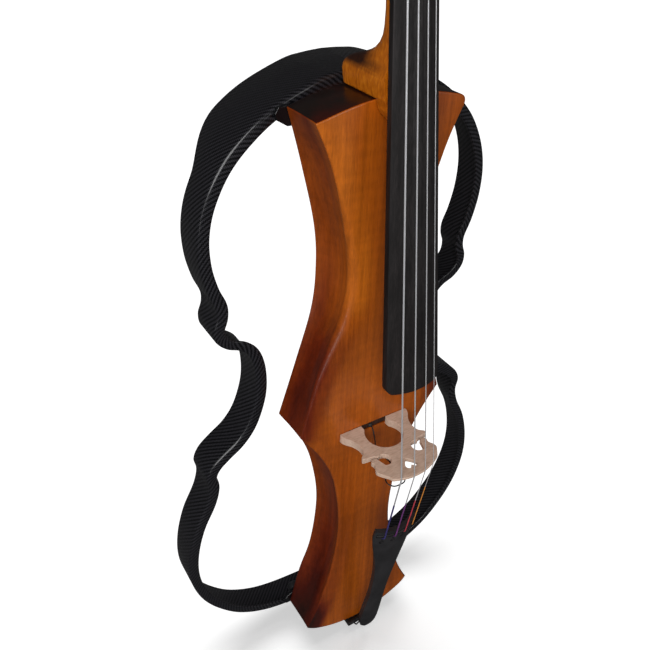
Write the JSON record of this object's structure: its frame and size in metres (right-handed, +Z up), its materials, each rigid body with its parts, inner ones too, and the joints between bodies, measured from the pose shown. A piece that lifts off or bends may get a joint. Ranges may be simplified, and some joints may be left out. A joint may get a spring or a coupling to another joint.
{
  "type": "electric cello",
  "caption": "Slim-bodied electric cello with a wooden core, removable carbon wings that trace a cello's outline, tuning pegs, bridge, tailpiece and sliding endpin.",
  "frame": {"origin": "centre of the endpin tip's flat end, with the endpin pushed in", "axes": "+X to the thin-string side seen from the front, +Y from the belly to the back, +Z up along the neck to the scroll"},
  "size_m": [0.452, 0.2275, 1.2434],
  "materials": {
    "spruce_lacquer": "semi-gloss lacquer",
    "maple_lacquer": "semi-gloss lacquer",
    "neck_maple": "satin lacquer",
    "ebony": "oiled",
    "bridge_maple": "bare wood",
    "string_steel": "flat-wound",
    "carbon_weave": "gloss carbon-fibre weave",
    "black_plastic": "gloss",
    "matte_black": "matt",
    "rubber": "matt",
    "rosewood": "oiled",
    "piezo": "satin",
    "circuit_green": "solder mask",
    "battery_grey": "satin",
    "nickel": "polished nickel"
  },
  "bodies": {
    "instrument": {"a_string": "string_steel", "back_cover": "matte_black", "bass_potentiometer": "nickel", "battery": "battery_grey", "body_back": "maple_lacquer", "body_front": "spruce_lacquer", "bottom_saddle": "ebony", "bridge": "bridge_maple", "bridge_pickup": "piezo", "c_string": "string_steel", "circuit_board": "circuit_green", "cover_screw_lower_left": "nickel", "cover_screw_lower_right": "nickel", "cover_screw_upper_left": "nickel", "cover_screw_upper_right": "nickel", "d_string": "string_steel", "endpin_socket": "black_plastic", "fingerboard": "ebony", "g_string": "string_steel", "headphone_jack": "nickel", "neck": "neck_maple", "nut": "ebony", "output_jack": "nickel", "pickup_bar": "rosewood", "pickup_ferrule": "rubber", "pickup_lead": "rubber", "tailgut": "black_plastic", "tailpiece": "matte_black", "tailpiece_fret": "ebony", "treble_potentiometer": "nickel", "volume_potentiometer": "nickel"},
    "c_peg": {"c_peg": "ebony"},
    "g_peg": {"g_peg": "ebony"},
    "d_peg": {"d_peg": "ebony"},
    "a_peg": {"a_peg": "ebony"},
    "endpin": {"endpin_rod": "nickel", "endpin_tip": "rubber"},
    "endpin_thumbscrew": {"endpin_thumbscrew": "black_plastic"},
    "wing_left": {"wing_left": "carbon_weave", "upper_left_bracket": "black_plastic", "lower_left_bracket": "black_plastic"},
    "wing_right": {"wing_right": "carbon_weave", "upper_right_bracket": "black_plastic", "lower_right_bracket": "black_plastic"},
    "upper_left_thumbscrew": {"upper_left_thumbscrew": "black_plastic"},
    "upper_right_thumbscrew": {"upper_right_thumbscrew": "black_plastic"},
    "lower_left_thumbscrew": {"lower_left_thumbscrew": "black_plastic"},
    "lower_right_thumbscrew": {"lower_right_thumbscrew": "black_plastic"},
    "volume_knob": {"volume_knob": "black_plastic"},
    "bass_knob": {"bass_knob": "black_plastic"},
    "treble_knob": {"treble_knob": "black_plastic"},
    "battery_door": {"battery_door": "matte_black"}
  },
  "joints": [
    {"name": "c_peg_turn", "type": "hinge", "parent": "instrument", "child": "c_peg", "pos_m": [0, 0.01675, 1.11348], "axis": [1, 0, 0], "continuous": true},
    {"name": "g_peg_turn", "type": "hinge", "parent": "instrument", "child": "g_peg", "pos_m": [0, 0.03108, 1.15509], "axis": [1, 0, 0], "continuous": true},
    {"name": "d_peg_turn", "type": "hinge", "parent": "instrument", "child": "d_peg", "pos_m": [0, 0.03726, 1.17305], "axis": [1, 0, 0], "continuous": true},
    {"name": "a_peg_turn", "type": "hinge", "parent": "instrument", "child": "a_peg", "pos_m": [0, 0.02326, 1.13239], "axis": [1, 0, 0], "continuous": true},
    {"name": "endpin_slide", "type": "slide", "parent": "instrument", "child": "endpin", "axis": [0, 0, -1], "range_m": [0, 0.35]},
    {"name": "endpin_thumbscrew_turn", "type": "hinge", "parent": "instrument", "child": "endpin_thumbscrew", "pos_m": [0, 0, 0.011], "axis": [0, 1, 0], "continuous": true},
    {"name": "wing_left_lift_off", "type": "slide", "parent": "instrument", "child": "wing_left", "axis": [0, 1, 0], "range_m": [0, 0.1]},
    {"name": "wing_right_lift_off", "type": "slide", "parent": "instrument", "child": "wing_right", "axis": [0, 1, 0], "range_m": [0, 0.1]},
    {"name": "upper_left_thumbscrew_turn", "type": "hinge", "parent": "wing_left", "child": "upper_left_thumbscrew", "pos_m": [-0.072, 0.032, 0.771], "axis": [0, 1, 0], "continuous": true},
    {"name": "upper_right_thumbscrew_turn", "type": "hinge", "parent": "wing_right", "child": "upper_right_thumbscrew", "pos_m": [0.072, 0.032, 0.771], "axis": [0, 1, 0], "continuous": true},
    {"name": "lower_left_thumbscrew_turn", "type": "hinge", "parent": "wing_left", "child": "lower_left_thumbscrew", "pos_m": [-0.072, 0.032, 0.058], "axis": [0, 1, 0], "continuous": true},
    {"name": "lower_right_thumbscrew_turn", "type": "hinge", "parent": "wing_right", "child": "lower_right_thumbscrew", "pos_m": [0.072, 0.032, 0.058], "axis": [0, 1, 0], "continuous": true},
    {"name": "volume_knob_turn", "type": "hinge", "parent": "instrument", "child": "volume_knob", "pos_m": [-0.017, 0, 0.64], "axis": [0, 1, 0], "range_deg": [-150, 150]},
    {"name": "bass_knob_turn", "type": "hinge", "parent": "instrument", "child": "bass_knob", "pos_m": [0, 0, 0.64], "axis": [0, 1, 0], "range_deg": [-150, 150]},
    {"name": "treble_knob_turn", "type": "hinge", "parent": "instrument", "child": "treble_knob", "pos_m": [0.017, 0, 0.64], "axis": [0, 1, 0], "range_deg": [-150, 150]},
    {"name": "battery_door_hinge", "type": "hinge", "parent": "instrument", "child": "battery_door", "pos_m": [0, 0.0274, 0.5663], "axis": [-1, 0, 0], "range_deg": [0, 100]}
  ]
}
